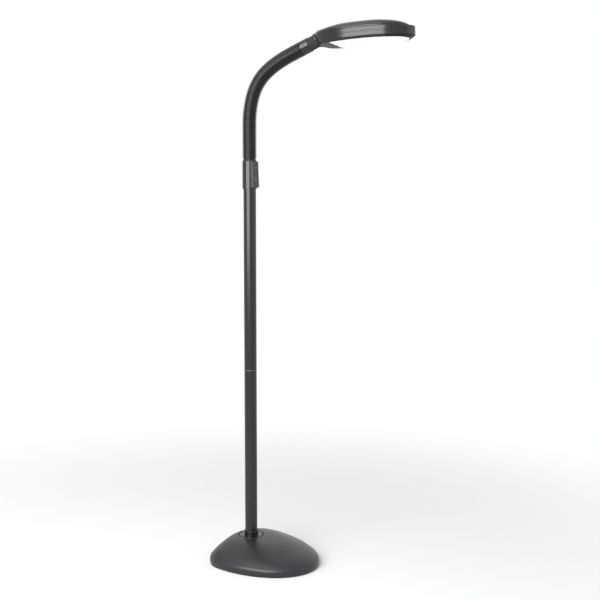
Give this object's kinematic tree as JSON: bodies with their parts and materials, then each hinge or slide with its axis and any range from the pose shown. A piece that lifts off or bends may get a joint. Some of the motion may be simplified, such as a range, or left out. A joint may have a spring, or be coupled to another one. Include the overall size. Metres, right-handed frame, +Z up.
{
  "type": "gooseneck floor lamp",
  "caption": "Floor lamp with a heavy egg-shaped base, two-tube pole with a control collar, ribbed gooseneck and a flat racket-shaped light head.",
  "frame": {"origin": "the pole's axis where it meets the floor, in the plane of the grip pad's underside", "axes": "+Z up along the pole; +X forward over the long end of the base, which the control pad faces; +Y to the lamp's left. At rest the neck and head lean in a plane turned 17 degrees from +X towards +Y."},
  "size_m": [0.4303, 0.2597, 1.2067],
  "materials": {
    "base_plastic": "fine moulded texture, satin black",
    "grip_rubber": "matt black",
    "screws": "zinc plated",
    "weight_iron": "as cast",
    "fittings": "turned, plain",
    "trim_black": "satin black",
    "cord_jacket": "matt black",
    "pole_enamel": "satin black enamel",
    "joint_steel": "dark satin",
    "collar_plastic": "satin black",
    "pad_gloss": "gloss black",
    "button_plastic": "gloss black with a pale symbol",
    "circuit_board": "green solder mask",
    "switch_plastic": "black",
    "neck_fitting": "black anodised",
    "neck_sleeve": "satin black",
    "head_plastic": "satin black",
    "opal": "opal white, satin",
    "clear_acrylic": "clear, polished",
    "led_white": "white body with a yellow phosphor",
    "led_aluminium": "white solder mask on aluminium",
    "spreader_aluminium": "mill finish"
  },
  "bodies": {
    "stand": {"base_shell": "base_plastic", "bottom_cover": "base_plastic", "grip_pad": "grip_rubber", "cover_screws": "screws", "base_weight": "weight_iron", "pole_socket": "fittings", "socket_screws": "screws", "escutcheon": "trim_black", "foot_collar": "trim_black", "cord_bushing": "grip_rubber", "inside_cord": "cord_jacket", "lower_pole": "pole_enamel", "upper_pole": "pole_enamel", "pole_coupler": "joint_steel", "collar_housing": "collar_plastic", "control_pad": "pad_gloss", "control_board": "circuit_board", "switches": "switch_plastic", "board_screws": "screws"},
    "power_button_body": {"power_button": "button_plastic"},
    "left_button_body": {"left_button": "button_plastic"},
    "right_button_body": {"right_button": "button_plastic"},
    "mode_button_body": {"mode_button": "button_plastic"},
    "neck_foot": {"neck_root": "neck_fitting", "stem_nut": "fittings"},
    "link_01": {"neck_link_01": "neck_sleeve"},
    "link_02": {"neck_link_02": "neck_sleeve"},
    "link_03": {"neck_link_03": "neck_sleeve"},
    "link_04": {"neck_link_04": "neck_sleeve"},
    "link_05": {"neck_link_05": "neck_sleeve"},
    "link_06": {"neck_link_06": "neck_sleeve"},
    "link_07": {"neck_link_07": "neck_sleeve"},
    "link_08": {"neck_link_08": "neck_sleeve"},
    "link_09": {"neck_link_09": "neck_sleeve"},
    "link_10": {"neck_link_10": "neck_sleeve"},
    "link_11": {"neck_link_11": "neck_sleeve"},
    "link_12": {"neck_link_12": "neck_sleeve"},
    "link_13": {"neck_link_13": "neck_sleeve"},
    "link_14": {"neck_link_14": "neck_sleeve"},
    "link_15": {"neck_link_15": "neck_sleeve"},
    "link_16": {"neck_link_16": "neck_sleeve"},
    "head": {"ferrule": "neck_fitting", "seal_ring": "grip_rubber", "ferrule_nut": "fittings", "head_top_cover": "head_plastic", "head_side_band": "head_plastic", "head_bezel": "head_plastic", "diffuser": "opal", "light_guide": "clear_acrylic", "leds": "led_white", "led_board": "led_aluminium", "heat_spreader": "spreader_aluminium", "head_screws": "screws"}
  },
  "joints": [
    {"name": "power_press", "type": "slide", "parent": "stand", "child": "power_button_body", "axis": [-1, 0, 0], "range_m": [0, 0.0006], "stiffness_N_per_m": 300},
    {"name": "left_press", "type": "slide", "parent": "stand", "child": "left_button_body", "axis": [-1, 0, 0], "range_m": [0, 0.0006], "stiffness_N_per_m": 300},
    {"name": "right_press", "type": "slide", "parent": "stand", "child": "right_button_body", "axis": [-1, 0, 0], "range_m": [0, 0.0006], "stiffness_N_per_m": 300},
    {"name": "mode_press", "type": "slide", "parent": "stand", "child": "mode_button_body", "axis": [-1, 0, 0], "range_m": [0, 0.0006], "stiffness_N_per_m": 300},
    {"name": "neck_turn", "type": "hinge", "parent": "stand", "child": "neck_foot", "pos_m": [0, 0, 0.9209], "axis": [0, 0, 1], "range_deg": [-120, 120]},
    {"name": "neck_bend_00", "type": "hinge", "parent": "neck_foot", "child": "link_01", "pos_m": [0, 0, 0.9317], "axis": [-0.2924, 0.9563, 0], "range_deg": [-2.5, 1.43]},
    {"name": "neck_bend_01", "type": "hinge", "parent": "link_01", "child": "link_02", "pos_m": [0, 0, 0.9497], "axis": [-0.2924, 0.9563, 0], "range_deg": [-2.5, 1.43]},
    {"name": "neck_bend_02", "type": "hinge", "parent": "link_02", "child": "link_03", "pos_m": [0, 0, 0.9677], "axis": [-0.2924, 0.9563, 0], "range_deg": [-2.5, 1.43]},
    {"name": "neck_bend_03", "type": "hinge", "parent": "link_03", "child": "link_04", "pos_m": [0, 0, 0.9857], "axis": [-0.2924, 0.9563, 0], "range_deg": [-2.5, 1.43]},
    {"name": "neck_bend_04", "type": "hinge", "parent": "link_04", "child": "link_05", "pos_m": [0, 0, 1.0037], "axis": [-0.2924, 0.9563, 0], "range_deg": [-5.59, 3.2]},
    {"name": "neck_bend_05", "type": "hinge", "parent": "link_05", "child": "link_06", "pos_m": [0.00093, 0.00028, 1.02167], "axis": [-0.2924, 0.9563, 0], "range_deg": [-7.37, 4.22]},
    {"name": "neck_bend_06", "type": "hinge", "parent": "link_06", "child": "link_07", "pos_m": [0.00331, 0.00101, 1.0395], "axis": [-0.2924, 0.9563, 0], "range_deg": [-7.37, 4.22]},
    {"name": "neck_bend_07", "type": "hinge", "parent": "link_07", "child": "link_08", "pos_m": [0.00713, 0.00218, 1.05705], "axis": [-0.2924, 0.9563, 0], "range_deg": [-8.73, 5]},
    {"name": "neck_lower_bend", "type": "hinge", "parent": "link_08", "child": "link_09", "pos_m": [0.01276, 0.0039, 1.07406], "axis": [-0.2924, 0.9563, 0], "range_deg": [-12.08, 6.92]},
    {"name": "neck_upper_bend", "type": "hinge", "parent": "link_09", "child": "link_10", "pos_m": [0.02101, 0.00642, 1.08986], "axis": [-0.2924, 0.9563, 0], "range_deg": [-12.08, 6.92]},
    {"name": "neck_bend_10", "type": "hinge", "parent": "link_10", "child": "link_11", "pos_m": [0.03166, 0.00968, 1.104], "axis": [-0.2924, 0.9563, 0], "range_deg": [-12.08, 6.92]},
    {"name": "neck_bend_11", "type": "hinge", "parent": "link_11", "child": "link_12", "pos_m": [0.04442, 0.01358, 1.11609], "axis": [-0.2924, 0.9563, 0], "range_deg": [-10.21, 5.84]},
    {"name": "neck_bend_12", "type": "hinge", "parent": "link_12", "child": "link_13", "pos_m": [0.05861, 0.01792, 1.12628], "axis": [-0.2924, 0.9563, 0], "range_deg": [-6.45, 3.69]},
    {"name": "neck_bend_13", "type": "hinge", "parent": "link_13", "child": "link_14", "pos_m": [0.07343, 0.02245, 1.13542], "axis": [-0.2924, 0.9563, 0], "range_deg": [-6.45, 3.69]},
    {"name": "neck_bend_14", "type": "hinge", "parent": "link_14", "child": "link_15", "pos_m": [0.08883, 0.02716, 1.14348], "axis": [-0.2924, 0.9563, 0], "range_deg": [-6.19, 3.54]},
    {"name": "neck_bend_15", "type": "hinge", "parent": "link_15", "child": "link_16", "pos_m": [0.10468, 0.032, 1.15048], "axis": [-0.2924, 0.9563, 0], "range_deg": [-2.5, 1.43]},
    {"name": "neck_bend_16", "type": "hinge", "parent": "link_16", "child": "head", "pos_m": [0.12054, 0.03685, 1.15749], "axis": [-0.2924, 0.9563, 0], "range_deg": [-2.5, 1.43]}
  ],
  "couplings": [
    {"joint": "neck_bend_00", "follows": "neck_lower_bend", "ratio": 0.2069},
    {"joint": "neck_bend_01", "follows": "neck_lower_bend", "ratio": 0.2069},
    {"joint": "neck_bend_02", "follows": "neck_lower_bend", "ratio": 0.2069},
    {"joint": "neck_bend_03", "follows": "neck_lower_bend", "ratio": 0.2069},
    {"joint": "neck_bend_04", "follows": "neck_lower_bend", "ratio": 0.4624},
    {"joint": "neck_bend_05", "follows": "neck_lower_bend", "ratio": 0.6103},
    {"joint": "neck_bend_06", "follows": "neck_lower_bend", "ratio": 0.6103},
    {"joint": "neck_bend_07", "follows": "neck_lower_bend", "ratio": 0.7229},
    {"joint": "neck_bend_10", "follows": "neck_upper_bend", "ratio": 1},
    {"joint": "neck_bend_11", "follows": "neck_upper_bend", "ratio": 0.8446},
    {"joint": "neck_bend_12", "follows": "neck_upper_bend", "ratio": 0.5338},
    {"joint": "neck_bend_13", "follows": "neck_upper_bend", "ratio": 0.5338},
    {"joint": "neck_bend_14", "follows": "neck_upper_bend", "ratio": 0.512},
    {"joint": "neck_bend_15", "follows": "neck_upper_bend", "ratio": 0.2069},
    {"joint": "neck_bend_16", "follows": "neck_upper_bend", "ratio": 0.2069}
  ]
}
